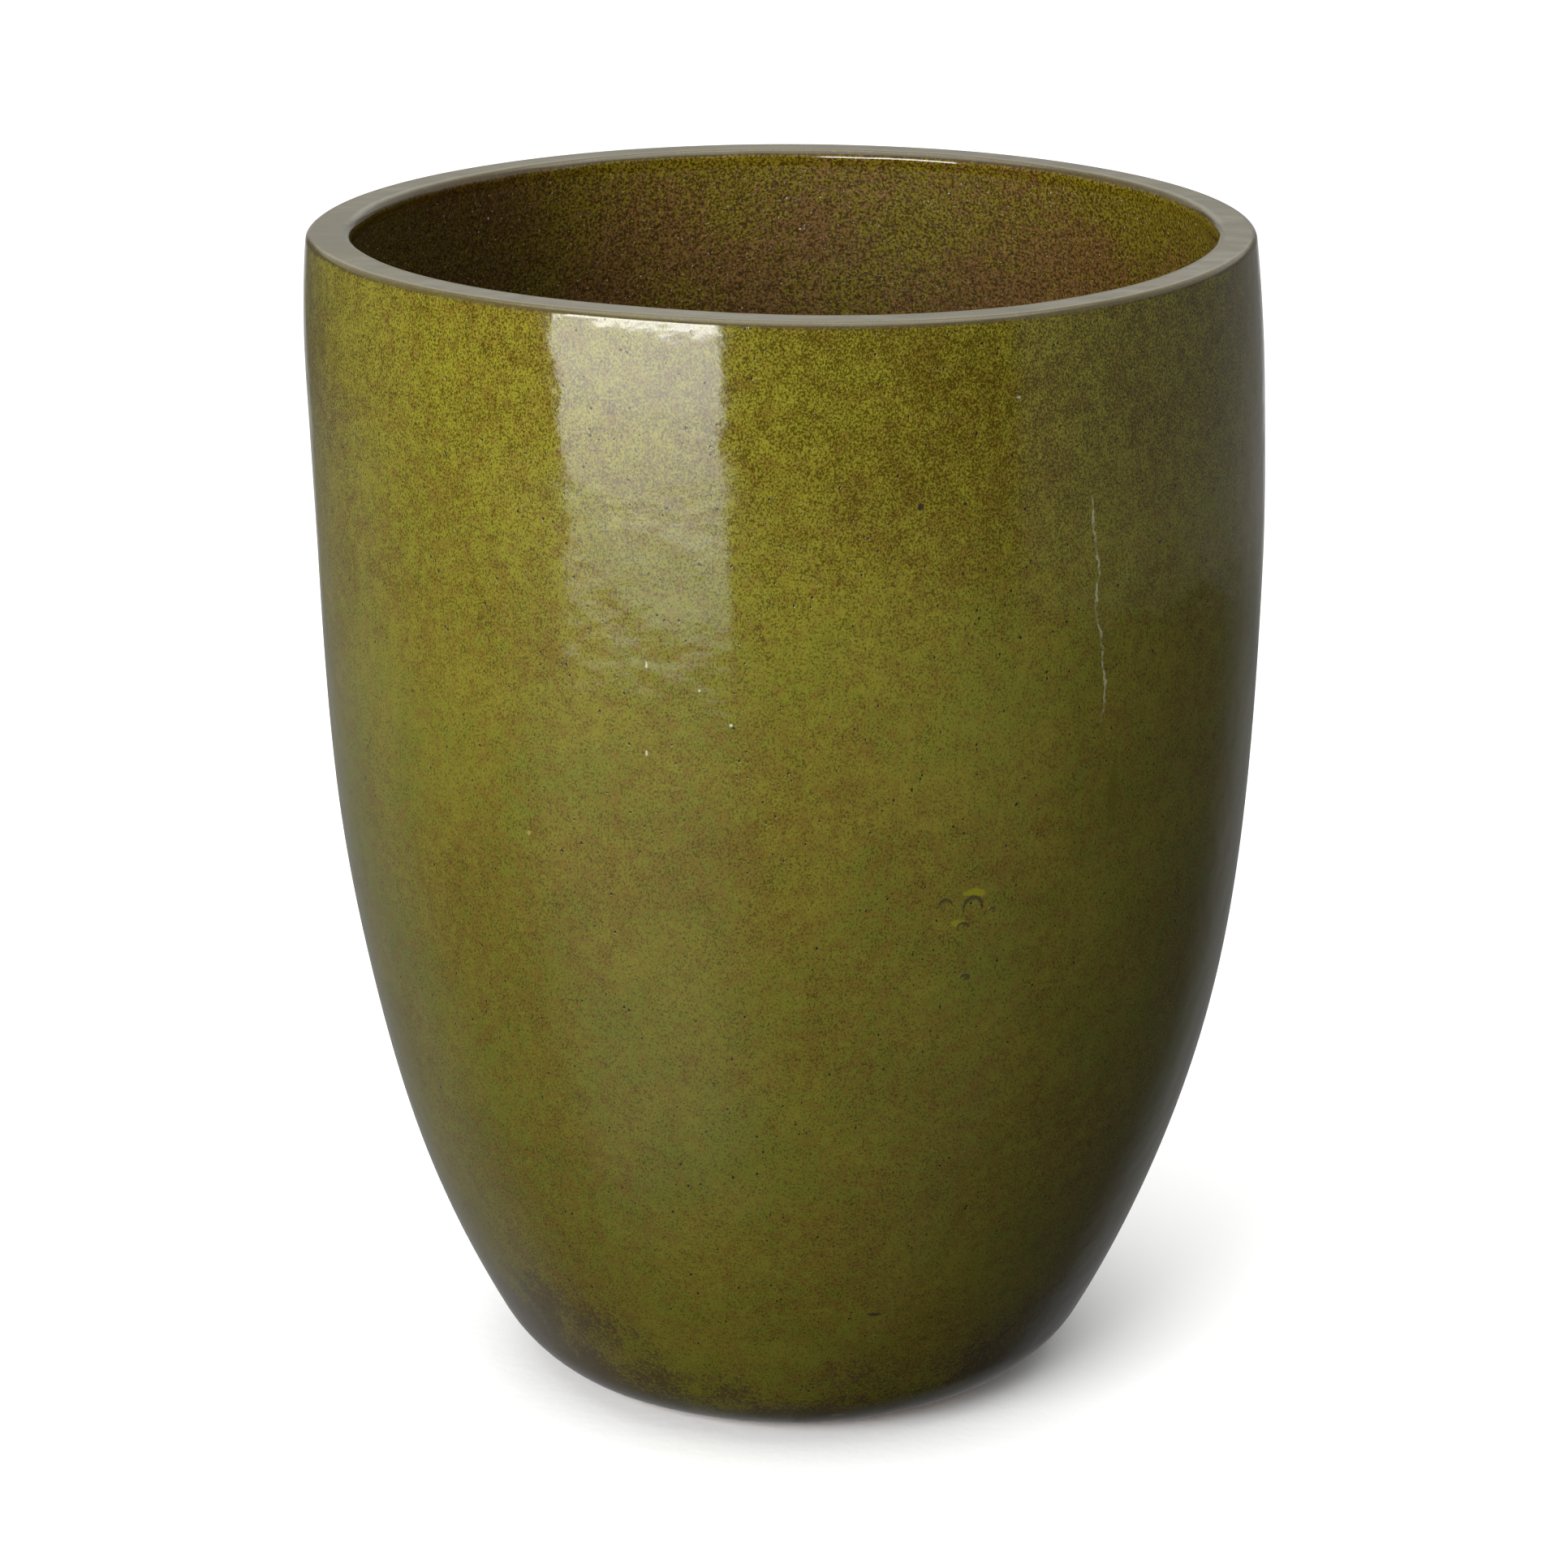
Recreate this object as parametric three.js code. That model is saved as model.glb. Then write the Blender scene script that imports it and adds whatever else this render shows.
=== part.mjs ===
// Glazed ceramic planter: one fired clay body with a flat lip, a rounded heel and a drain hole,
// carrying a thick glossy glaze outside and over the lip, and a thin rough glaze inside.
// Millimetres, +Z up, origin on the ground under the centre of the foot.

import * as THREE from 'three';

// Overall form, measured over the glaze
const HEIGHT = 700;
const BELLY_RADIUS = 279;
const BELLY_HEIGHT = 614;       // height of the widest ring
const FOOT_TAPER = 119;         // how far the wall line draws in from the belly to the ground
const TAPER_POWER = 3.25;       // the higher, the later the wall starts to draw in
const LIP_TAPER = 5;            // how far the wall draws in from the belly to the lip
const HEEL_HEIGHT = 36;         // height where the rounded heel runs into the wall
const LIP_WIDTH = 25.5;
const LIP_OUTER_ROUND = 4;
const LIP_INNER_ROUND = 5;

// Clay body
const WALL = 18;                // thickness of the bare clay wall below the lip
const LIP_SWELL = 150;          // the wall grows to the lip's thickness over this height
const FLOOR_THICKNESS = 26;
const FLOOR_ROUND_HEIGHT = 34;  // height of the hollow curve between floor and wall
const RECESS_DEPTH = 6;         // hollow under the floor, inside the foot ring
const RECESS_SLOPE = 8;
const FOOT_RING_WIDTH = 20;
const DRAIN_RADIUS = 16;

// Glaze coats
const OUTER_COAT = 1.2;
const INNER_COAT = 0.8;
const COAT_GAP = 0.3;           // each coat is a solid of its own, just clear of its neighbour
const BARE_HEEL = 0.4;          // share of the heel's arc that is left unglazed
const LIP_RUNOVER = 14;         // the outer glaze runs this far down inside the lip
const DRAIN_MARGIN = 4;         // bare clay around the drain hole

const SEGMENTS = 60;
const QUARTER_TURN = Math.PI / 2;

// Sizes of the bare clay
const COAT_DEPTH = COAT_GAP + OUTER_COAT;
const CLAY_TOP = HEIGHT - COAT_DEPTH;
const CLAY_RADIUS = BELLY_RADIUS - COAT_DEPTH;
const CLAY_LIP_WIDTH = LIP_WIDTH - 2 * COAT_DEPTH;
const OUTER_EDGE = LIP_OUTER_ROUND - COAT_DEPTH;
const INNER_EDGE = LIP_INNER_ROUND - COAT_DEPTH;
const FLOOR_TOP = RECESS_DEPTH + FLOOR_THICKNESS;

function outsideRadius(z) {
  const below = Math.max(BELLY_HEIGHT - z, 0) / BELLY_HEIGHT;
  const above = Math.max(z - BELLY_HEIGHT, 0) / (HEIGHT - BELLY_HEIGHT);
  return CLAY_RADIUS - FOOT_TAPER * below ** TAPER_POWER - LIP_TAPER * above ** 2;
}

function insideRadius(z) {
  const swell = Math.max(z - (CLAY_TOP - LIP_SWELL), 0) / LIP_SWELL;
  return outsideRadius(z) - WALL - (CLAY_LIP_WIDTH - WALL) * swell ** 2;
}

// Points of a wall line from one height to another.
function wallLine(radiusAt, fromZ, toZ, steps) {
  const points = [];
  for (let i = 0; i <= steps; i++) {
    const z = fromZ + (toZ - fromZ) * i / steps;
    points.push(new THREE.Vector2(radiusAt(z), z));
  }
  return points;
}

// Points of a round stretch; angle 0 points away from the axis and a quarter turn points up.
function arcLine(round, fromAngle, toAngle, steps) {
  const points = [];
  for (let i = 0; i <= steps; i++) {
    const angle = fromAngle + (toAngle - fromAngle) * i / steps;
    const reach = new THREE.Vector2(Math.cos(angle), Math.sin(angle)).multiplyScalar(round.radius);
    points.push(reach.add(round.centre));
  }
  return points;
}

// The arc that leaves a level surface smoothly and meets a wall line smoothly at joinZ.
function roundIntoWall(radiusAt, levelZ, joinZ) {
  const slope = radiusAt(joinZ + 0.5) - radiusAt(joinZ - 0.5);
  const joinAngle = -Math.atan(slope);
  const radius = (joinZ - levelZ) / (1 + Math.sin(joinAngle));
  const centre = new THREE.Vector2(radiusAt(joinZ) - radius * Math.cos(joinAngle), levelZ + radius);
  return { centre, radius, joinAngle };
}

function lipRound(wallRadius, roundRadius, side) {
  const centre = new THREE.Vector2(wallRadius - side * roundRadius, CLAY_TOP - roundRadius);
  return { centre, radius: roundRadius };
}

// Joins stretches into one outline, dropping points that repeat where two stretches meet.
function joinLines(...lines) {
  const points = lines.flat();
  return points.filter((point, i) => i === 0 || point.distanceTo(points[i - 1]) > 0.01);
}

// A copy of an outline, moved sideways; outlines run up the outside, over the lip and down inside.
function offsetLine(line, distance) {
  const normals = [];
  for (let i = 1; i < line.length; i++) {
    const run = line[i].clone().sub(line[i - 1]).normalize();
    normals.push(new THREE.Vector2(run.y, -run.x));
  }
  return line.map((point, i) => {
    const before = normals[Math.max(i - 1, 0)];
    const after = normals[Math.min(i, normals.length - 1)];
    const middle = before.clone().add(after).normalize();
    return point.clone().addScaledVector(middle, distance / middle.dot(before));
  });
}

// The stretches of the clay's outline, in order.
const heel = roundIntoWall(outsideRadius, 0, HEEL_HEIGHT);
const glazeStart = -QUARTER_TURN + BARE_HEEL * (heel.joinAngle + QUARTER_TURN);
const lipOutside = lipRound(outsideRadius(CLAY_TOP - OUTER_EDGE), OUTER_EDGE, 1);
const lipInside = lipRound(insideRadius(CLAY_TOP - INNER_EDGE), INNER_EDGE, -1);
const floorRound = roundIntoWall(insideRadius, FLOOR_TOP, FLOOR_TOP + FLOOR_ROUND_HEIGHT);
const runoverEnd = CLAY_TOP - LIP_RUNOVER;

function bareHeelLine() {
  return arcLine(heel, -QUARTER_TURN, glazeStart, 2);
}

function outerGlazedLine() {
  return joinLines(
    arcLine(heel, glazeStart, heel.joinAngle, 3),
    wallLine(outsideRadius, HEEL_HEIGHT, CLAY_TOP - OUTER_EDGE, 11),
    arcLine(lipOutside, 0, QUARTER_TURN, 3),
    arcLine(lipInside, QUARTER_TURN, 2 * QUARTER_TURN, 3),
    wallLine(insideRadius, CLAY_TOP - INNER_EDGE, runoverEnd, 1),
  );
}

function innerGlazedLine() {
  const floorEnd = new THREE.Vector2(DRAIN_RADIUS + DRAIN_MARGIN, FLOOR_TOP);
  return joinLines(
    wallLine(insideRadius, runoverEnd - COAT_GAP, FLOOR_TOP + FLOOR_ROUND_HEIGHT, 9),
    arcLine(floorRound, floorRound.joinAngle, -QUARTER_TURN, 4),
    [floorEnd],
  );
}

function drainAndRecessLine() {
  const ringInside = heel.centre.x - FOOT_RING_WIDTH;
  return [
    new THREE.Vector2(DRAIN_RADIUS, FLOOR_TOP),
    new THREE.Vector2(DRAIN_RADIUS, RECESS_DEPTH),
    new THREE.Vector2(ringInside - RECESS_SLOPE, RECESS_DEPTH),
    new THREE.Vector2(ringInside, 0),
  ];
}

// Turns a closed outline about the pot's axis.
function turned(name, outline, material) {
  const loop = [...outline, outline[0].clone()];
  const geometry = new THREE.LatheGeometry(loop, SEGMENTS);
  geometry.rotateX(QUARTER_TURN);
  const mesh = new THREE.Mesh(geometry, material);
  mesh.name = name;
  return mesh;
}

function coat(name, line, thickness, material) {
  const back = offsetLine(line, COAT_GAP).reverse();
  const face = offsetLine(line, COAT_GAP + thickness);
  return turned(name, [...face, ...back], material);
}

function clayBody() {
  const material = new THREE.MeshStandardMaterial({ color: 0x9a6447, roughness: 0.9, metalness: 0 });
  const outline = joinLines(bareHeelLine(), outerGlazedLine(), innerGlazedLine(), drainAndRecessLine());
  return turned('clay_body', outline, material);
}

function outerGlaze() {
  const material = new THREE.MeshStandardMaterial({ color: 0x6c6a1c, roughness: 0.2, metalness: 0 });
  return coat('outer_glaze', outerGlazedLine(), OUTER_COAT, material);
}

function innerGlaze() {
  const material = new THREE.MeshStandardMaterial({ color: 0x564420, roughness: 0.6, metalness: 0 });
  return coat('inner_glaze', innerGlazedLine(), INNER_COAT, material);
}

const group = new THREE.Group();
group.add(clayBody());
group.add(outerGlaze());
group.add(innerGlaze());

export default group;
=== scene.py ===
"""Looks of a tall glazed ceramic planter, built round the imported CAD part. Metres, +Z up."""
import math

import bpy
import numpy as np
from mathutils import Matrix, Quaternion, Vector


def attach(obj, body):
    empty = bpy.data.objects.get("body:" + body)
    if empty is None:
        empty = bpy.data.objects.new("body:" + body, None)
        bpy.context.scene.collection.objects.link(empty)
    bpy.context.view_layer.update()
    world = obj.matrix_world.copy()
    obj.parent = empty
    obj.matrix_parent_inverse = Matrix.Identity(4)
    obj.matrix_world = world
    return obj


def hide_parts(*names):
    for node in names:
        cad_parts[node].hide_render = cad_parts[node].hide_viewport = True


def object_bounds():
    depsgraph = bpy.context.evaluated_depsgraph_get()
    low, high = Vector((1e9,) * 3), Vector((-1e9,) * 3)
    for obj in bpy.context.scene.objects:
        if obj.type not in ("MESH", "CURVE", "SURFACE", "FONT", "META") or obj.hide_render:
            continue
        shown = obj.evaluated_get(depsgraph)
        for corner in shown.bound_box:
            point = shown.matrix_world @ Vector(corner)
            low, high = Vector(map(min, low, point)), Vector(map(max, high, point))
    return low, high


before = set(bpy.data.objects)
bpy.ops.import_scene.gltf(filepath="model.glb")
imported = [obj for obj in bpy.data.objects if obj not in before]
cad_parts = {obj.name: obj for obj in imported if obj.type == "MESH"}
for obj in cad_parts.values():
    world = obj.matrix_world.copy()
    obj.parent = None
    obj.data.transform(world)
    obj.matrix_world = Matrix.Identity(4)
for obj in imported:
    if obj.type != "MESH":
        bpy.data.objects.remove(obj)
CAD_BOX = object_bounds()

# Driving dimensions. Height and belly radius come from the CAD model, the rest follow its design.
MM = 0.001
HEIGHT = CAD_BOX[1].z
BELLY_RADIUS = CAD_BOX[1].x
BELLY_HEIGHT = 614 * MM
FOOT_TAPER = 119 * MM
TAPER_POWER = 3.25
LIP_TAPER = 5 * MM
HEEL_HEIGHT = 40 * MM
LIP_WIDTH = 25.5 * MM
LIP_ROLL = 0.5 * MM             # how far the outside leans in over its last few millimetres
LIP_ROLL_HEIGHT = 6.5 * MM
LIP_OUTER_ROUND = 4 * MM
LIP_INNER_ROUND = 5.5 * MM
WALL = 18 * MM
LIP_SWELL = 150 * MM
FLOOR_TOP = 32 * MM
FLOOR_ROUND_HEIGHT = 34 * MM
RECESS_DEPTH = 6 * MM
RECESS_SLOPE = 8 * MM
FOOT_RING_WIDTH = 20 * MM
DRAIN_RADIUS = 16 * MM
DRAIN_ROUND = 2 * MM
OUTER_COAT = 1.5 * MM           # height of the glaze over the clay
INNER_COAT = 1.1 * MM
GLAZE_LINE = 31.5 * MM          # where the outer glaze starts, along the outline from the foot
LIP_RUNOVER = 14 * MM           # how far the outer glaze runs down inside
DRAIN_CLEARANCE = 3 * MM        # bare clay between the inner glaze and the drain hole
QUARTER = math.pi / 2

# Mesh density.
GLAZE_STEP = 3 * MM
CLAY_STEP = 9 * MM
OUTER_COLUMNS = 512
INNER_COLUMNS = 400
INNER_ROWS = 300
CLAY_COLUMNS = 256

# How far the hand-made pot strays from its outline.
LIP_LEAN = -5.4 * MM            # to the right; negative is to the left
BELLY_SWAY = 2.1 * MM
FOOT_SWAY = -1.1 * MM
INNER_SHIFT = 1.5 * MM          # the mouth's inner edge against its outer one
LIP_FORWARD = 0.8 * MM
OVAL = 0.8 * MM
DENT_DEPTH = 0.45 * MM

# Stretches of the lip that stand higher or lower: azimuths in degrees between which each one fades.
LEFT_RISES, LEFT_FALLS, LEFT_LIFT = (-100, -65), (14, -24), 3.6 * MM
RIGHT_RISES, RIGHT_FALLS, RIGHT_DROP = (5, 30), (75, 45), 1.1 * MM
BACK_RISES, BACK_LIFT = (130, 160), 0.7 * MM

CLAY_TOP = HEIGHT - OUTER_COAT
CLAY_RADIUS = BELLY_RADIUS - OUTER_COAT
CLAY_LIP_WIDTH = LIP_WIDTH - 2 * OUTER_COAT
OUTER_EDGE = LIP_OUTER_ROUND - OUTER_COAT
INNER_EDGE = LIP_INNER_ROUND - OUTER_COAT
MM_PER_DEGREE = BELLY_RADIUS / MM * math.pi / 180


# ---------------------------------------------------------------- outlines

def outside_radius(z):
    below = np.clip(BELLY_HEIGHT - z, 0, None) / BELLY_HEIGHT
    above = np.clip(z - BELLY_HEIGHT, 0, None) / (HEIGHT - BELLY_HEIGHT)
    rolled = np.clip(z - (HEIGHT - LIP_ROLL_HEIGHT), 0, None) / LIP_ROLL_HEIGHT
    taper = FOOT_TAPER * below ** TAPER_POWER + LIP_TAPER * above ** 2
    return CLAY_RADIUS - taper - LIP_ROLL * rolled ** 2


def inside_radius(z):
    swell = np.clip(z - (CLAY_TOP - LIP_SWELL), 0, None) / LIP_SWELL
    return outside_radius(z) - WALL - (CLAY_LIP_WIDTH - WALL) * swell ** 2


def wall_line(radius_at, from_z, to_z, step):
    z = np.linspace(from_z, to_z, max(2, round(abs(to_z - from_z) / step) + 1))
    return np.column_stack([radius_at(z), z])


def straight_line(start, end, step):
    steps = max(1, round(math.dist(start, end) / step))
    return np.linspace(start, end, steps + 1)


def arc_line(centre, radius, from_angle, to_angle, steps):
    angle = np.linspace(from_angle, to_angle, steps + 1)
    return np.column_stack([centre[0] + radius * np.cos(angle), centre[1] + radius * np.sin(angle)])


def round_into_wall(radius_at, level, join):
    """Centre, radius and last angle of the arc that leaves a level surface and meets a wall line."""
    slope = (radius_at(join + MM) - radius_at(join - MM)) / (2 * MM)
    angle = -math.atan(slope)
    radius = (join - level) / (1 + math.sin(angle))
    return (radius_at(join) - radius * math.cos(angle), level + radius), radius, angle


def join_lines(*lines):
    points = np.vstack(lines)
    keep = np.r_[True, np.linalg.norm(np.diff(points, axis=0), axis=1) > 1e-5]
    return points[keep]


def outside_line(step):
    """The clay's outline from the foot up to the lip's flat and down to the inside of the lip."""
    centre, radius, angle = round_into_wall(outside_radius, 0, HEEL_HEIGHT)
    outer = CLAY_TOP - OUTER_EDGE
    inner = CLAY_TOP - INNER_EDGE
    outer_centre = (outside_radius(outer) - OUTER_EDGE, outer)
    inner_centre = (inside_radius(inner) + INNER_EDGE, inner)
    return join_lines(
        arc_line(centre, radius, -QUARTER, angle, 26),
        wall_line(outside_radius, HEEL_HEIGHT, outer, step),
        arc_line(outer_centre, OUTER_EDGE, 0, QUARTER, 8),
        straight_line((outer_centre[0], CLAY_TOP), (inner_centre[0], CLAY_TOP), 1.5 * MM),
        arc_line(inner_centre, INNER_EDGE, QUARTER, 2 * QUARTER, 8),
    )


def inside_line(step):
    """The clay's outline from the inside of the lip down to the floor and in to the drain hole."""
    floor_join = FLOOR_TOP + FLOOR_ROUND_HEIGHT
    centre, radius, angle = round_into_wall(inside_radius, FLOOR_TOP, floor_join)
    return join_lines(
        wall_line(inside_radius, CLAY_TOP - INNER_EDGE, CLAY_TOP - 2 * LIP_RUNOVER, MM),
        wall_line(inside_radius, CLAY_TOP - 2 * LIP_RUNOVER, floor_join, step),
        arc_line(centre, radius, angle, -QUARTER, 20),
        straight_line((centre[0], FLOOR_TOP), (DRAIN_RADIUS + DRAIN_ROUND, FLOOR_TOP), step),
    )


def underside_line():
    """The clay's outline down the drain hole, out over the recess and to the foot ring."""
    centre, _, _ = round_into_wall(outside_radius, 0, HEEL_HEIGHT)
    ring = centre[0] - FOOT_RING_WIDTH
    edge = DRAIN_RADIUS + DRAIN_ROUND
    top = FLOOR_TOP - DRAIN_ROUND
    bottom = RECESS_DEPTH + DRAIN_ROUND
    return join_lines(
        arc_line((edge, top), DRAIN_ROUND, QUARTER, 2 * QUARTER, 4),
        straight_line((DRAIN_RADIUS, top), (DRAIN_RADIUS, bottom), 3 * MM),
        arc_line((edge, bottom), DRAIN_ROUND, 2 * QUARTER, 3 * QUARTER, 4),
        straight_line((edge, RECESS_DEPTH), (ring - RECESS_SLOPE, RECESS_DEPTH), 6 * MM),
        straight_line((ring - RECESS_SLOPE, RECESS_DEPTH), (ring, 0), 1.5 * MM),
        straight_line((ring, 0), (centre[0], 0), 4 * MM),
    )


class Outline:
    """An outline that can be read at any distance along it, with its outward normal."""

    def __init__(self, points):
        self.points = points
        self.at = np.r_[0, np.cumsum(np.linalg.norm(np.diff(points, axis=0), axis=1))]
        run = np.gradient(points, self.at, axis=0)
        run /= np.linalg.norm(run, axis=1)[:, None]
        self.normals = np.column_stack([run[:, 1], -run[:, 0]])
        self.length = self.at[-1]

    def read(self, s, height):
        """Points at distances s, lifted by height above the outline."""
        r, z = (np.interp(s, self.at, self.points[:, i]) for i in (0, 1))
        nr, nz = (np.interp(s, self.at, self.normals[:, i]) for i in (0, 1))
        size = np.hypot(nr, nz)
        return r + nr / size * height, z + nz / size * height


# ---------------------------------------------------------------- hand-made irregularity

def waves(angle, count, size, seed):
    """A smooth random line round the pot, the same at angle 0 and a full turn."""
    rng = np.random.default_rng(seed)
    total = np.zeros_like(angle)
    for k in range(1, count + 1):
        total += rng.normal() / math.sqrt(k) * np.cos(k * angle + rng.uniform(0, 2 * math.pi))
    return total / np.abs(total).max() * size


def smooth(x, low, high):
    t = np.clip((x - low) / (high - low), 0, 1)
    return t * t * (3 - 2 * t)


def dents(angle, z):
    """Slow hand-made unevenness of the wall, in metres along the radius."""
    rng = np.random.default_rng(11)
    total = np.zeros(np.broadcast(angle, z).shape)
    for k in range(2, 12):
        for m in (1, 2, 3, 5, 7):
            phase = rng.uniform(0, 2 * math.pi, 2)
            size = rng.normal() / (k * 0.5 + m)
            total += size * np.cos(k * angle + phase[0]) * np.cos(m * math.pi * z / HEIGHT + phase[1])
    return DENT_DEPTH * total


def lip_level(azimuth):
    """How far the lip stands above its design level round the pot, in metres."""
    left = smooth(azimuth, *LEFT_RISES) * smooth(azimuth, *LEFT_FALLS) * LEFT_LIFT
    right = smooth(azimuth, *RIGHT_RISES) * smooth(azimuth, *RIGHT_FALLS) * RIGHT_DROP
    return left - right + smooth(np.abs(azimuth), *BACK_RISES) * BACK_LIFT


def hand_made(angle, r, z):
    """Turns outline points into space: the pot leans, its lip is uneven and it is out of round."""
    inner = np.clip((outside_radius(z) - r) / CLAY_LIP_WIDTH, 0, 1)
    belly = np.exp(-((z - 0.25) / 0.1) ** 2)
    lean = LIP_LEAN * smooth(z, 0.50, 0.72) + BELLY_SWAY * belly + FOOT_SWAY * np.exp(-z / 0.06)
    upper = smooth(z, 0.3, 0.7)
    spread = smooth(r, 0.03, 0.15)
    reach = r + spread * (dents(angle, z) + OVAL * np.cos(2 * angle + 0.6) * z / HEIGHT)
    x = reach * np.cos(angle) + (lean + INNER_SHIFT * inner * upper) * spread
    y = reach * np.sin(angle) - LIP_FORWARD * upper * spread
    return x, y, z + lip_level(np.degrees(np.arctan2(x, -y))) * smooth(z, 0.50, 0.69)


# ---------------------------------------------------------------- meshes

def grid_mesh(name, x, y, z, closed=False):
    """A mesh from rows of rings. Rows run along the outline, and each ring closes on itself."""
    rows, cols = x.shape
    vertices = np.column_stack([a.ravel() for a in (x, y, z)])
    i, j = np.meshgrid(np.arange(rows if closed else rows - 1), np.arange(cols), indexing="ij")
    up, on = (i + 1) % rows, (j + 1) % cols
    faces = np.stack([i * cols + j, i * cols + on, up * cols + on, up * cols + j], -1).reshape(-1, 4)
    mesh = bpy.data.meshes.new(name)
    mesh.from_pydata(vertices.tolist(), [], faces.tolist())
    mesh.polygons.foreach_set("use_smooth", np.ones(len(faces), bool))
    mesh.update()
    piece = bpy.data.objects.new(name, mesh)
    bpy.context.scene.collection.objects.link(piece)
    return piece


def ring_angles(count):
    return np.linspace(0, 2 * math.pi, count, endpoint=False)


def coat_height(s, start, end, full, edge):
    """Height of a glaze coat along its outline: full, rounding down to the clay at both ends."""
    left = np.clip(np.minimum(s - start, end - s) / edge, 0, 1)
    return full * (np.sqrt(1 - (1 - left) ** 2) * 1.1 - 0.1)


def make_outer_glaze():
    outline = Outline(join_lines(outside_line(GLAZE_STEP), inside_line(GLAZE_STEP)))
    last = Outline(outside_line(GLAZE_STEP)).length + LIP_RUNOVER - INNER_EDGE
    angle = ring_angles(OUTER_COLUMNS)[None, :]
    start = GLAZE_LINE + waves(angle, 30, 2.5 * MM, 3)
    end = last + waves(angle, 40, 4 * MM, 5)
    base = outline.at[(outline.at > GLAZE_LINE) & (outline.at < last)]
    fine = np.linspace(0, 1, 7)[1:] ** 2 * 1.6 * MM
    s = np.r_[base[0] + (fine - fine[-1]), base[1:-1], base[-1] + (fine[-1] - fine[::-1])][:, None]
    near_start = 1 - smooth(s, s[0, 0], s[0, 0] + 30 * MM)
    near_end = smooth(s, s[-1, 0] - 9 * MM, s[-1, 0])
    along = s + (start - s[0, 0]) * near_start + (end - s[-1, 0]) * near_end
    thin = 1 - 0.45 * smooth(end - along, 12 * MM, 4 * MM)
    height = coat_height(along, start, end, OUTER_COAT, 1.5 * MM) * thin
    r, z = outline.read(along, height)
    return grid_mesh("outer_glaze_coat", *hand_made(np.broadcast_to(angle, r.shape), r, z))


def make_inner_glaze():
    outline = Outline(inside_line(GLAZE_STEP))
    angle = ring_angles(INNER_COLUMNS)[None, :]
    start = 5 * MM
    last = outline.length - DRAIN_CLEARANCE
    end = last + waves(angle, 20, 1.5 * MM, 9)
    s = np.linspace(start, last, INNER_ROWS)[:, None]
    along = s + (end - last) * smooth(s, outline.length - 20 * MM, last)
    height = coat_height(along, start - 4 * MM, end, INNER_COAT, 2 * MM)
    r, z = outline.read(along, height)
    return grid_mesh("inner_glaze_coat", *hand_made(np.broadcast_to(angle, r.shape), r, z))


def make_clay_body():
    line = join_lines(outside_line(CLAY_STEP), inside_line(CLAY_STEP), underside_line())[:-1]
    angle, r, z = np.broadcast_arrays(ring_angles(CLAY_COLUMNS)[None, :], line[:, :1], line[:, 1:])
    return grid_mesh("fired_clay_body", *hand_made(angle, r, z), closed=True)


# ---------------------------------------------------------------- materials

class Shader:
    """The nodes of a material or a world, made by short calls."""

    def __init__(self, owner):
        self.tree = owner.node_tree
        self.tree.nodes.clear()

    def node(self, kind, settings=None, **inputs):
        made = self.tree.nodes.new(kind)
        for key, value in (settings or {}).items():
            setattr(made, key, value)
        for key, value in inputs.items():
            socket = made.inputs[int(key[1:]) if key[0] == "_" else key.replace("_", " ")]
            if isinstance(value, bpy.types.NodeSocket):
                self.tree.links.new(value, socket)
            else:
                socket.default_value = value
        return made

    def math(self, operation, a, b=0.0, clamp=False):
        made = self.node("ShaderNodeMath", {"operation": operation, "use_clamp": clamp}, _0=a, _1=b)
        return made.outputs[0]

    def ramp(self, value, low, high, to_low=0.0, to_high=1.0):
        """Smooth step of value from low to high."""
        settings = {"interpolation_type": "SMOOTHSTEP"}
        made = self.node("ShaderNodeMapRange", settings, Value=value, From_Min=low, From_Max=high,
                         To_Min=to_low, To_Max=to_high)
        return made.outputs["Result"]

    def mix(self, share, a, b):
        made = self.node("ShaderNodeMix", {"data_type": "RGBA"})
        for index, value in ((0, share), (6, a), (7, b)):
            socket = made.inputs[index]
            if isinstance(value, bpy.types.NodeSocket):
                self.tree.links.new(value, socket)
            elif index:
                socket.default_value = (*value, 1.0)
            else:
                socket.default_value = value
        return made.outputs[2]


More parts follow.
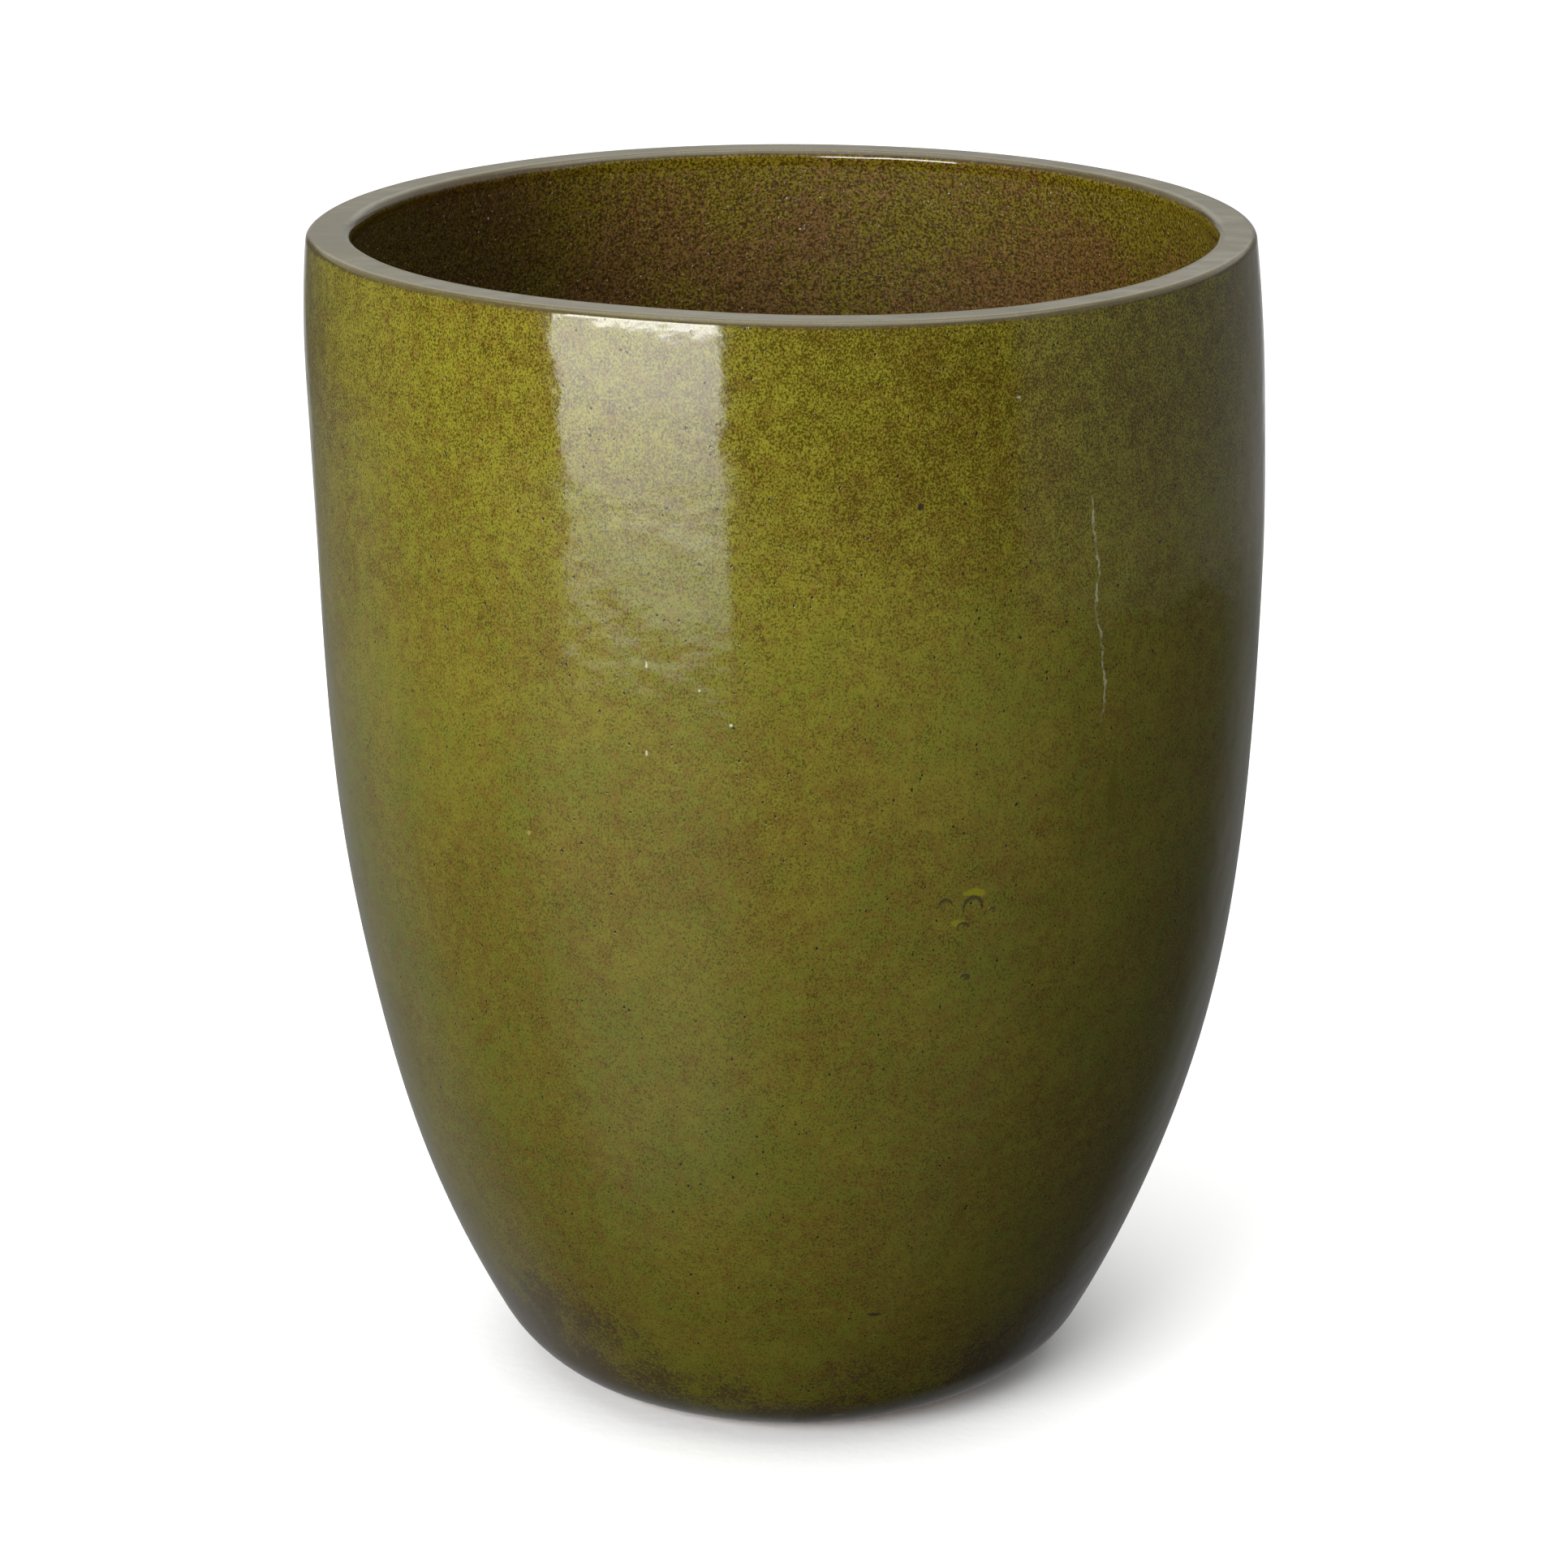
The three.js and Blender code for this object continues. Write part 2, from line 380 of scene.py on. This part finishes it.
class Surface(Shader):
    """A material, with textures placed in metres on the piece itself."""

    def __init__(self, name):
        self.material = bpy.data.materials.new(name)
        self.material.use_nodes = True
        super().__init__(self.material)
        self.place = self.node("ShaderNodeTexCoord").outputs["Object"]

    def noise(self, size, detail=2.0, rough=0.5, place=None):
        """Noise from 0 to 1 with features of that size, in metres."""
        made = self.node("ShaderNodeTexNoise", Vector=place or self.place, Scale=1 / size,
                         Detail=detail, Roughness=rough)
        return made.outputs["Fac"]

    def drift(self, size, detail, rough, reach):
        """The same noise, from minus to plus half of reach."""
        centred = self.math("SUBTRACT", self.noise(size, detail, rough), 0.5)
        return self.math("MULTIPLY", centred, reach)

    def stretched(self, x, y, z, shift=(0, 0, 0)):
        made = self.node("ShaderNodeMapping", Vector=self.place, Scale=(x, y, z), Location=shift)
        return made.outputs[0]

    def apart(self):
        return self.node("ShaderNodeSeparateXYZ", Vector=self.place)

    def azimuth(self):
        """Degrees round the pot: 0 at the camera's side, positive to the right."""
        parts = self.apart()
        forward = self.math("MULTIPLY", parts.outputs["Y"], -1.0)
        return self.math("DEGREES", self.math("ARCTAN2", parts.outputs["X"], forward))

    def bump(self, height, distance, normal=None):
        """Relief from a height of 0 to 1 that stands for that distance, in metres."""
        made = self.node("ShaderNodeBump", Height=height, Distance=distance, Strength=1.0)
        if normal:
            self.tree.links.new(normal, made.inputs["Normal"])
        return made.outputs["Normal"]

    def finish(self, colour, roughness, normal, **constants):
        shader = self.node("ShaderNodeBsdfPrincipled", Base_Color=colour, Roughness=roughness,
                           Normal=normal, **constants)
        output = self.node("ShaderNodeOutputMaterial")
        self.tree.links.new(shader.outputs[0], output.inputs[0])
        return self.material


# Glaze and clay colours, as linear red, green and blue.
OLIVE = (0.138, 0.120, 0.014)
LEAF = (0.109, 0.113, 0.012)
TAN = (0.120, 0.084, 0.012)
UMBER = (0.026, 0.017, 0.001)
BRIGHT_OLIVE = (0.168, 0.151, 0.015)
PINHOLE = (0.012, 0.009, 0.004)
FOOT_BROWN = (0.050, 0.033, 0.014)
BREAK_BROWN = (0.040, 0.028, 0.007)
LIP_OLIVE = (0.064, 0.049, 0.010)
WASH_BROWN = (0.175, 0.092, 0.024)
WASH_GREEN = (0.180, 0.142, 0.009)
WASH_GRIT = (0.030, 0.015, 0.001)
# painted shade: the dark mixed into the left side of the inside
INSIDE_LEFT_SHADE = (0.011, 0.002, 0.001)
GLINT = (0.55, 0.50, 0.42)
CLAY_DARK = (0.30, 0.13, 0.065)
CLAY_LIGHT = (0.40, 0.19, 0.10)
CLAY_GRIT = (0.16, 0.08, 0.05)
# painted shade: black mixed into the outer glaze, more towards the foot
SHADE_BLACK = (0.0, 0.0, 0.0)
CHIP_WHITE = (0.34, 0.33, 0.25)
SCAR_DARK = (0.016, 0.013, 0.009)
SCAR_GREEN = (0.060, 0.056, 0.003)
# painted shade: dark on the craters' upper rims
CRATER_RIM_SHADE = (0.03, 0.025, 0.01)
# painted highlight: pale olive on the upper rims of two craters
CRATER_HIGHLIGHT = (0.150, 0.145, 0.006)
CRACK_PALE = (0.30, 0.29, 0.20)

# Spots of the glaze, and two painted highlights over craters: azimuth in degrees, height, half width and
# half height in mm, colour, share.
SPOTS = (
    (40.0, 421, 4.5, 24, SCAR_GREEN, 0.6),
    (14.3, 600.6, 2.0, 2.6, SCAR_DARK, 0.9),
    (12.6, 104.9, 6.5, 1.6, SCAR_DARK, 0.8),
    (-16.2, 512.6, 0.7, 2.2, CHIP_WHITE, 0.8),
    (-16.4, 463, 0.7, 2.2, CHIP_WHITE, 0.7),
    (-10.2, 500.4, 1.0, 1.0, CHIP_WHITE, 0.8),
    (-6.7, 481.5, 1.2, 1.0, CHIP_WHITE, 0.9),
    (-6.4, 480.2, 1.1, 1.0, SCAR_DARK, 0.9),
    (-31.7, 407, 1.6, 1.6, (0.20, 0.18, 0.04), 0.7),
    (21.0, 327.7, 2.4, 1.8, SCAR_DARK, 0.6),
    (9.0, 19.8, 9.0, 1.4, (0.15, 0.14, 0.02), 0.7),
    # painted highlight: pale spots on the upper rims of the craters at 369 and 359 mm
    (21.6, 378.5, 8.0, 3.0, CRATER_HIGHLIGHT, 0.7),
    (19.6, 361.5, 4.5, 2.5, CRATER_HIGHLIGHT, 0.5),
    (26.0, 655, 1.6, 1.0, CHIP_WHITE, 0.5),
)

# Small arch-shaped craters: azimuth in degrees, height, half width and half height in mm.
CRATERS = (
    (21.3, 369, 6.6, 8.5),
    (17.9, 373, 4.4, 4.5),
    (20.1, 359, 3.6, 3.2),
    (20.7, 328, 3.2, 2.6),
    (23.8, 367, 2.2, 2.0),
)


def outer_glaze_material():
    """Glossy olive glaze: brown clouds, fine dark speckle, pinholes, brown where it thins over edges,
    and painted shade that darkens it towards the foot.
    """
    s = Surface("olive_glaze")
    z = s.apart().outputs["Z"]
    upper = s.ramp(z, 0.42, 0.69)
    wide = s.noise(0.10, 3, 0.55)
    hue = s.noise(0.009, 6, 0.8)
    tan_share = s.math("ADD", s.math("MULTIPLY", hue, 0.78), s.math("MULTIPLY", wide, 0.22))
    body = s.mix(s.ramp(s.noise(0.06, 5, 0.75), 0.36, 0.62), OLIVE, LEAF)
    body = s.mix(s.math("MULTIPLY", upper, 0.75), body, BRIGHT_OLIVE)
    body = s.mix(s.ramp(tan_share, 0.43, 0.61, 0.0, 0.95), body, TAN)
    speckle, pins = speckles(s, upper, wide)
    body = s.mix(speckle, body, UMBER)
    body = s.mix(pins, body, PINHOLE)
    body = s.mix(foot_browning(s, z), body, FOOT_BROWN)
    level = s.math("SUBTRACT", z, level_of_lip(s))
    body = s.mix(inside_lip(s, z), body, wash_colour(s, z))
    body = s.mix(lip_break(s, level), body, BREAK_BROWN)
    body = s.mix(s.ramp(level, HEIGHT - 0.0016, HEIGHT - 0.0006, 0.0, 0.75), body, LIP_OLIVE)
    # painted shade: the wall is mixed towards black from 0.66 m down to 0.26 m, up to 28 percent
    body = s.mix(s.ramp(z, 0.66, 0.26, 0.0, 0.28), body, SHADE_BLACK)
    body, relief = add_flaws(s, body, z)
    normal = s.bump(s.noise(0.030, 1, 0.4), 0.0005)
    normal = s.bump(s.noise(0.012, 2, 0.5, s.stretched(0.7, 0.7, 1.2)), 0.00018, normal)
    normal = s.bump(s.noise(0.0035, 1, 0.4), 0.00002, normal)
    normal = s.bump(s.math("SUBTRACT", relief, pins), 0.00012, normal)
    rough = s.ramp(s.noise(0.03, 3), 0.3, 0.8, 0.07, 0.12)
    return s.finish(body, rough, normal, IOR=1.5)


def speckles(s, upper, wide):
    """Shares of the fine dark speckle, dense towards the lip, and of the scattered pinholes."""
    grain = s.noise(0.0010, 3, 0.7, s.stretched(1, 1, 0.8))
    crowd = s.math("MULTIPLY", upper, s.ramp(s.azimuth(), -15, 8, 0.046, 0.076))
    lift = s.math("ADD", crowd, s.math("MULTIPLY", s.math("SUBTRACT", wide, 0.5), 0.08))
    level = s.math("ADD", s.math("ADD", grain, s.drift(0.012, 5, 0.75, 0.22)), lift)
    speckle = s.math("MULTIPLY", s.ramp(level, 0.46, 0.66), s.ramp(upper, 0, 1, 0.74, 0.88))
    holes = s.node("ShaderNodeTexVoronoi", Vector=s.stretched(1, 1, 0.75), Scale=1 / 0.0044)
    size = s.ramp(s.noise(0.008, 1), 0.36, 0.76, 0.0, 0.18)
    pins = s.ramp(s.math("SUBTRACT", holes.outputs["Distance"], size), 0.03, -0.03, 0.0, 0.9)
    return speckle, pins


def foot_browning(s, z):
    """Share of brown near the foot: grains that crowd together low down, higher at the two sides."""
    fine = s.math("MULTIPLY", s.noise(0.0022, 4, 0.75), 1.7)
    grain = s.math("ADD", fine, s.math("MULTIPLY", s.noise(0.035, 3, 0.6), 0.9))
    side = s.math("ABSOLUTE", s.math("SUBTRACT", s.apart().outputs["X"], 0.01))
    grain = s.math("ADD", grain, s.ramp(side, 0.05, 0.17, -0.06, 0.28))
    level = s.math("SUBTRACT", grain, s.math("MULTIPLY", z, 6.5))
    return s.ramp(level, 0.90, 1.18, 0.0, 0.88)


def level_of_lip(s):
    """How far the lip stands above its design level at this azimuth, in metres."""
    azimuth = s.azimuth()
    left = s.ramp(azimuth, *LEFT_FALLS, 0.0, LEFT_LIFT)
    left = s.math("MULTIPLY", s.ramp(azimuth, *LEFT_RISES), left)
    right = s.ramp(azimuth, *RIGHT_FALLS, 0.0, RIGHT_DROP)
    right = s.math("MULTIPLY", s.ramp(azimuth, *RIGHT_RISES), right)
    back = s.ramp(s.math("ABSOLUTE", azimuth), *BACK_RISES, 0.0, BACK_LIFT)
    return s.math("ADD", s.math("SUBTRACT", left, right), back)


def lip_break(s, level):
    """Share of the brown line where the glaze thins over the lip's edges."""
    height = s.math("ADD", level, s.drift(0.005, 4, 0.65, 0.003))
    rise = s.ramp(height, HEIGHT - 0.0042, HEIGHT - 0.0022)
    fall = s.ramp(height, HEIGHT - 0.0002, HEIGHT - 0.0012)
    return s.math("MULTIPLY", s.math("MULTIPLY", rise, fall), 0.85)


def inside_lip(s, z):
    """Share of the inside's wash over the glaze that ran in over the lip."""
    centred = s.stretched(1, 1, 0, (-LIP_LEAN - INNER_SHIFT, LIP_FORWARD, 0))
    reach = s.node("ShaderNodeVectorMath", {"operation": "LENGTH"}, _0=centred).outputs["Value"]
    reach = s.math("ADD", reach, s.drift(0.008, 4, 0.7, 0.003))
    edge = inside_radius(CLAY_TOP) + INNER_EDGE
    inside = s.ramp(reach, edge + 0.0004, edge - 0.0012)
    return s.math("MULTIPLY", inside, s.ramp(z, 0.60, 0.62))


def add_flaws(s, body, z):
    """Adds the small kiln flaws to the colour, with painted shade on the craters' upper rims, and gives
    them with their relief.
    """
    around = s.math("MULTIPLY", s.azimuth(), MM_PER_DEGREE)
    height = s.math("DIVIDE", z, MM)
    ragged = s.drift(0.004, 3, 0.7, 1.6)
    relief = 0.0
    for azimuth, level, wide, tall, colour, share in SPOTS:
        spot = flaw(s, around, height, azimuth, level, wide, tall, ragged, 1.0, 0.6)
        body = s.mix(s.math("MULTIPLY", spot, share), body, colour)
    for azimuth, level, wide, tall in CRATERS:
        edge = s.math("MULTIPLY", ragged, 0.2)
        ring = flaw(s, around, height, azimuth, level, wide, tall, edge, 1.05, 0.9)
        inner = flaw(s, around, height, azimuth, level - 1.2, wide, tall, 0.0, 0.95, 0.7)
        crescent = s.math("SUBTRACT", ring, inner, clamp=True)
        crescent = s.math("MULTIPLY", crescent, s.ramp(height, level - 2, level + 2))
        # painted shade: dark crescents on the craters' upper rims, which the relief also raises
        body = s.mix(s.math("MULTIPLY", crescent, 0.85), body, CRATER_RIM_SHADE)
        relief = s.math("ADD", s.math("MULTIPLY", crescent, 2.0), relief)
    crack = crack_share(s, around, height)
    return s.mix(crack, body, CRACK_PALE), s.math("ADD", crack, relief)


def flaw(s, around, height, azimuth, level, wide, tall, ragged, edge, core):
    """Share of an oval spot on the wall, from edge to core of its half sizes in millimetres."""
    across = s.math("DIVIDE", s.math("SUBTRACT", around, azimuth * MM_PER_DEGREE), wide)
    up = s.math("DIVIDE", s.math("SUBTRACT", height, level), tall)
    reach = s.math("ADD", s.math("MULTIPLY", across, across), s.math("MULTIPLY", up, up))
    return s.ramp(s.math("ADD", s.math("SQRT", reach), ragged), edge, core)


def crack_share(s, around, height):
    """Share of the pale hair crack that wanders down the wall on the right."""
    centre = s.math("ADD", s.math("MULTIPLY", height, -0.085), s.drift(0.020, 3, 0.6, 16))
    gap = s.math("ABSOLUTE", s.math("SUBTRACT", s.math("SUBTRACT", around, 225.5), centre))
    ends = s.math("MULTIPLY", s.ramp(height, 462, 475), s.ramp(height, 598, 588))
    broken = s.ramp(s.noise(0.006, 2, 0.6), 0.42, 0.56, 0.15, 0.65)
    return s.math("MULTIPLY", s.math("MULTIPLY", s.ramp(gap, 1.1, 0.4), ends), broken)


def wash_colour(s, z):
    """Colour of the thin glaze inside: brown with green clouds towards the lip, gritty, and painted
    shade that darkens its left side.
    """
    hue = s.noise(0.006, 6, 0.8)
    zone = s.noise(0.085, 3, 0.5)
    greener = s.math("MULTIPLY", s.math("SUBTRACT", s.ramp(z, 0.54, 0.70), 0.55), 0.10)
    level = s.math("ADD", s.math("MULTIPLY", hue, 0.6), s.math("MULTIPLY", zone, 0.4))
    level = s.math("ADD", level, greener)
    grain = s.noise(0.0017, 4, 0.75)
    body = s.mix(s.ramp(level, 0.45, 0.58), WASH_BROWN, WASH_GREEN)
    body = s.mix(s.ramp(grain, 0.43, 0.57, 0.0, 0.92), body, WASH_GRIT)
    # painted shade: darker towards the left side of the inside, from x -0.06 m to -0.20 m, up to 58
    # percent
    side = s.apart().outputs["X"]
    return s.mix(s.ramp(side, -0.06, -0.20, 0.0, 0.58), body, INSIDE_LEFT_SHADE)


def inner_glaze_material():
    """Thin rough wash of glaze, gritty, with small glints."""
    s = Surface("brown_wash")
    grain = s.noise(0.0022, 3, 0.7)
    body = wash_colour(s, s.apart().outputs["Z"])
    glint = s.ramp(s.noise(0.0016, 1, 0.5), 0.72, 0.80)
    body = s.mix(glint, body, GLINT)
    normal = s.bump(s.noise(0.007, 4, 0.65), 0.0012)
    normal = s.bump(s.noise(0.010, 3, 0.6, s.stretched(1, 1, 0.35)), 0.0016, normal)
    normal = s.bump(grain, 0.0007, normal)
    rough = s.ramp(grain, 0.3, 0.7, 0.35, 0.6)
    return s.finish(body, rough, normal, IOR=1.28)


def clay_material():
    """Bare fired clay: warm brown, matte, with fine grit."""
    s = Surface("bare_fired_clay")
    clouds = s.noise(0.04, 4, 0.6)
    grit = s.noise(0.0018, 3, 0.7)
    body = s.mix(s.ramp(clouds, 0.3, 0.7), CLAY_DARK, CLAY_LIGHT)
    body = s.mix(s.ramp(grit, 0.55, 0.75, 0.0, 0.6), body, CLAY_GRIT)
    normal = s.bump(grit, 0.0004)
    return s.finish(body, s.ramp(grit, 0.3, 0.7, 0.8, 0.95), normal, IOR=1.45)


# ---------------------------------------------------------------- studio

CAMERA_DISTANCE = 3.858 * HEIGHT
CAMERA_ELEVATION = 18.16
CAMERA_ROLL = -0.2
CAMERA_LENS = 102.5
CAMERA_AIM = (-0.0045, 0, 0.0088)       # from the middle of the pot
FLOOR_REACH = 14.0
FLOOR_STEPS = 24

# The key light stands at the left, brighter towards its top. Azimuth 0 is at the camera's side.
KEY_AZIMUTH = -31.6
KEY_DISTANCE = 2.0
KEY_WIDTH = 1.38
KEY_TOP = 1.42
KEY_STRIPS = (                          # bottom edge and radiance of each strip, from the ground up
    (-0.09, 0.2), (-0.065, 0.6), (-0.045, 1.2), (-0.028, 1.8), (-0.01, 2.0), (0.03, 2.1),
    (0.07, 2.6), (0.10, 4.2), (0.20, 4.7), (0.30, 5.4), (0.38, 6.3), (0.48, 6.7), (0.70, 18.3),
)


def look_at(thing, target, roll=0.0):
    turn = (Vector(target) - thing.location).to_track_quat("-Z", "Y")
    thing.rotation_mode = "QUATERNION"
    thing.rotation_quaternion = turn @ Quaternion((0, 0, 1), math.radians(roll))


def key_strip(name, bottom, top, radiance):
    """One level strip of the upright key light. It faces the pot's axis."""
    light = bpy.data.lights.new(name, "AREA")
    light.shape = "RECTANGLE"
    light.size = KEY_WIDTH
    light.size_y = top - bottom
    light.energy = radiance * math.pi * (top - bottom) * KEY_WIDTH
    lamp = bpy.data.objects.new(name, light)
    bpy.context.scene.collection.objects.link(lamp)
    azimuth = math.radians(KEY_AZIMUTH)
    middle = (bottom + top) / 2
    lamp.location = (KEY_DISTANCE * math.sin(azimuth), -KEY_DISTANCE * math.cos(azimuth), middle)
    look_at(lamp, (0, 0, middle))
    lamp.visible_camera = False


def make_camera():
    elevation = math.radians(CAMERA_ELEVATION)
    data = bpy.data.cameras.new("camera")
    data.sensor_width = 36
    data.lens = CAMERA_LENS
    camera = bpy.data.objects.new("camera", data)
    bpy.context.scene.collection.objects.link(camera)
    middle = Vector((0, 0, HEIGHT / 2))
    back = Vector((0, -math.cos(elevation), math.sin(elevation)))
    camera.location = middle + back * CAMERA_DISTANCE
    look_at(camera, middle + Vector(CAMERA_AIM), roll=CAMERA_ROLL)
    bpy.context.scene.camera = camera


def make_floor():
    line = np.linspace(-FLOOR_REACH, FLOOR_REACH, FLOOR_STEPS + 1)
    x, y = np.meshgrid(line, line)
    vertices = np.column_stack([x.ravel(), y.ravel(), np.full(x.size, -0.0002)])
    i, j = np.meshgrid(np.arange(FLOOR_STEPS), np.arange(FLOOR_STEPS))
    row = FLOOR_STEPS + 1
    corner = (i * row + j).ravel()
    faces = np.stack([corner, corner + 1, corner + row + 1, corner + row], -1)
    mesh = bpy.data.meshes.new("floor")
    mesh.from_pydata(vertices.tolist(), [], faces.tolist())
    floor = bpy.data.objects.new("floor", mesh)
    bpy.context.scene.collection.objects.link(floor)
    s = Surface("pale_floor")
    tone = s.mix(s.noise(0.4, 2), (0.88, 0.88, 0.87), (0.90, 0.90, 0.89))
    mesh.materials.append(s.finish(tone, 0.8, s.bump(s.noise(0.01, 2), 0.0002)))
    floor.visible_glossy = False
    floor.visible_diffuse = False
    floor.visible_shadow = False


def make_world(top=2.9, base=0.7, right=0.27, left=0.13, back=0.56, floor=0.13, glow=0.37):
    """Studio surroundings by direction: bright above, dim walls at the sides, a pale one behind."""
    world = bpy.data.worlds.new("studio")
    bpy.context.scene.world = world
    world.use_nodes = True
    s = Shader(world)
    parts = s.node("ShaderNodeSeparateXYZ", Vector=s.node("ShaderNodeTexCoord").outputs["Generated"])
    forward = s.math("MULTIPLY", parts.outputs["Y"], -1.0)
    azimuth = s.math("DEGREES", s.math("ARCTAN2", parts.outputs["X"], forward))
    rise = s.math("DEGREES", s.math("ARCSINE", parts.outputs["Z"]))
    walls = s.math("MULTIPLY", s.ramp(azimuth, 53, 59), right)
    walls = s.math("MAXIMUM", walls, s.math("MULTIPLY", s.ramp(azimuth, -85, -105), left))
    behind = s.ramp(s.math("ABSOLUTE", azimuth), 156, 168)
    walls = s.math("MAXIMUM", walls, s.math("MULTIPLY", behind, back))
    near_key = s.math("MULTIPLY", s.ramp(azimuth, -80, -50), s.ramp(azimuth, 0, -30))
    near_key = s.math("MULTIPLY", near_key, s.ramp(rise, -62, -40))
    far_left = s.math("MULTIPLY", s.ramp(azimuth, -95, -125), 0.5)
    far_right = s.math("MULTIPLY", s.ramp(azimuth, 125, 150), 0.25)
    glows = s.math("ADD", near_key, s.math("ADD", far_left, far_right))
    ground = s.math("ADD", s.math("MULTIPLY", glows, glow), floor)
    shade = s.math("MULTIPLY", s.ramp(azimuth, 54, 70), s.ramp(azimuth, 150, 120, 0.0, 0.05))
    ground = s.math("SUBTRACT", ground, shade)
    ground = s.math("MULTIPLY", ground, s.ramp(rise, -75, -40, 0.35, 1.0))
    light = s.math("MULTIPLY", s.ramp(rise, -17, -13), walls)
    light = s.math("ADD", light, s.math("MULTIPLY", s.ramp(rise, -12, -18), ground))
    light = s.math("ADD", light, s.math("MULTIPLY", s.ramp(rise, 8, 18), base))
    light = s.math("ADD", light, s.math("MULTIPLY", s.ramp(rise, 45, 65), top))
    seen = s.node("ShaderNodeLightPath").outputs["Is Camera Ray"]
    lit = s.node("ShaderNodeBackground", Strength=light)
    plain = s.node("ShaderNodeBackground", Strength=1.3)
    either = s.node("ShaderNodeMixShader", _0=seen, _1=lit.outputs[0], _2=plain.outputs[0])
    output = s.node("ShaderNodeOutputWorld")
    s.tree.links.new(either.outputs[0], output.inputs[0])


def make_lights():
    tops = [bottom for bottom, _ in KEY_STRIPS[1:]] + [KEY_TOP]
    for number, ((bottom, radiance), top) in enumerate(zip(KEY_STRIPS, tops)):
        key_strip(f"key_{number}", bottom, top, radiance)


def dress(piece, material, node_name):
    piece.data.materials.append(material)
    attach(piece, "root")
    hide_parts(node_name)


bpy.context.scene.view_settings.view_transform = "Standard"
make_camera()
dress(make_outer_glaze(), outer_glaze_material(), "outer_glaze")
dress(make_inner_glaze(), inner_glaze_material(), "inner_glaze")
dress(make_clay_body(), clay_material(), "clay_body")
make_floor()
make_world()
make_lights()
